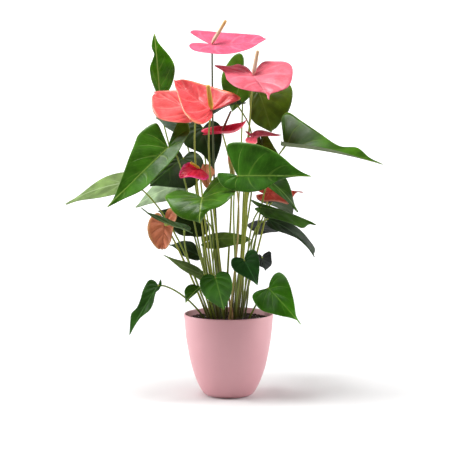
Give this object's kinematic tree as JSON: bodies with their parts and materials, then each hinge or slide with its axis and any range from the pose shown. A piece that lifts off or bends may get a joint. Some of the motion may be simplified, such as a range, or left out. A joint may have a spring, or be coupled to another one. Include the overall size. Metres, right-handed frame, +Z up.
{
  "type": "potted anthurium",
  "caption": "Flamingo flower in a smooth tapered plastic pot: heart-shaped leaves on long stalks, waxy pink spathes with upright spadices, and soil.",
  "frame": {"origin": "centre of the pot's flat underside, on the surface it stands on", "axes": "+Z up through the pot to the blooms, -Y towards the side seen in the picture, +X to that view's right"},
  "size_m": [0.6413, 0.3136, 0.7516],
  "materials": {
    "pot_plastic": "satin",
    "soil_peat": "matte",
    "dry_sheath": "matte",
    "bud_skin": "satin",
    "leaf_upright": "satin",
    "leaf_great_left": "satin",
    "leaf_far_left": "satin",
    "leaf_low_left_back": "satin",
    "leaf_edge_left": "satin",
    "leaf_front_centre": "satin",
    "leaf_great_centre": "satin",
    "leaf_great_right": "satin",
    "leaf_high_back": "satin",
    "leaf_olive_back": "satin",
    "leaf_lit_edge": "satin",
    "leaf_dark_centre": "satin",
    "leaf_dark_mid": "satin",
    "leaf_grey_green": "satin",
    "leaf_right_lobe": "satin",
    "leaf_dark_low": "satin",
    "leaf_right_under": "satin",
    "leaf_right_low": "satin",
    "leaf_right_dark": "satin",
    "leaf_back_grey": "satin",
    "leaf_back_mid": "satin",
    "leaf_olive_low": "satin",
    "leaf_dark_left": "satin",
    "leaf_pale_left": "satin",
    "leaf_withered": "satin",
    "leaf_front_heart": "satin",
    "leaf_curled_small": "satin",
    "leaf_hanging_left": "satin",
    "leaf_heart_blue": "satin",
    "leaf_back_small": "satin",
    "leaf_bright_right": "satin",
    "spathe_top": "gloss",
    "bloom_stalk": "satin",
    "spadix_top": "matte",
    "spathe_right": "gloss",
    "spadix_right": "matte",
    "spathe_coral": "gloss",
    "spadix_coral": "matte",
    "spathe_salmon": "gloss",
    "spadix_salmon": "matte",
    "spathe_crimson": "gloss",
    "spadix_crimson": "matte",
    "spathe_canoe": "gloss",
    "spadix_canoe": "matte",
    "spathe_rolled": "gloss",
    "spathe_fading_right": "gloss",
    "spathe_fading_left": "gloss",
    "spadix_fading_left": "matte"
  },
  "bodies": {
    "root": {"pot": "pot_plastic", "soil": "soil_peat", "sheath": "dry_sheath", "bud": "bud_skin", "leaf_upright": "leaf_upright", "leaf_great_left": "leaf_great_left", "leaf_far_left": "leaf_far_left", "leaf_low_left_back": "leaf_low_left_back", "leaf_edge_left": "leaf_edge_left", "leaf_front_centre": "leaf_front_centre", "leaf_great_centre": "leaf_great_centre", "leaf_great_right": "leaf_great_right", "leaf_high_back": "leaf_high_back", "leaf_olive_back": "leaf_olive_back", "leaf_lit_edge": "leaf_lit_edge", "leaf_dark_centre": "leaf_dark_centre", "leaf_dark_mid": "leaf_dark_mid", "leaf_grey_green": "leaf_grey_green", "leaf_right_lobe": "leaf_right_lobe", "leaf_dark_low": "leaf_dark_low", "leaf_right_under": "leaf_right_under", "leaf_right_low": "leaf_right_low", "leaf_right_dark": "leaf_right_dark", "leaf_back_grey": "leaf_back_grey", "leaf_back_mid": "leaf_back_mid", "leaf_olive_low": "leaf_olive_low", "leaf_dark_left": "leaf_dark_left", "leaf_pale_left": "leaf_pale_left", "leaf_withered": "leaf_withered", "leaf_front_heart": "leaf_front_heart", "leaf_curled_small": "leaf_curled_small", "leaf_hanging_left": "leaf_hanging_left", "leaf_heart_blue": "leaf_heart_blue", "leaf_back_small": "leaf_back_small", "leaf_bright_right": "leaf_bright_right", "spathe_top": "spathe_top", "stalk_top": "bloom_stalk", "spadix_top": "spadix_top", "spathe_right": "spathe_right", "stalk_right": "bloom_stalk", "spadix_right": "spadix_right", "spathe_coral": "spathe_coral", "stalk_coral": "bloom_stalk", "spadix_coral": "spadix_coral", "spathe_salmon": "spathe_salmon", "stalk_salmon": "bloom_stalk", "spadix_salmon": "spadix_salmon", "spathe_crimson": "spathe_crimson", "stalk_crimson": "bloom_stalk", "spadix_crimson": "spadix_crimson", "spathe_canoe": "spathe_canoe", "stalk_canoe": "bloom_stalk", "spadix_canoe": "spadix_canoe", "spathe_rolled": "spathe_rolled", "stalk_rolled": "bloom_stalk", "spathe_fading_right": "spathe_fading_right", "stalk_fading_right": "bloom_stalk", "spathe_fading_left": "spathe_fading_left", "stalk_fading_left": "bloom_stalk", "spadix_fading_left": "spadix_fading_left"}
  },
  "joints": []
}
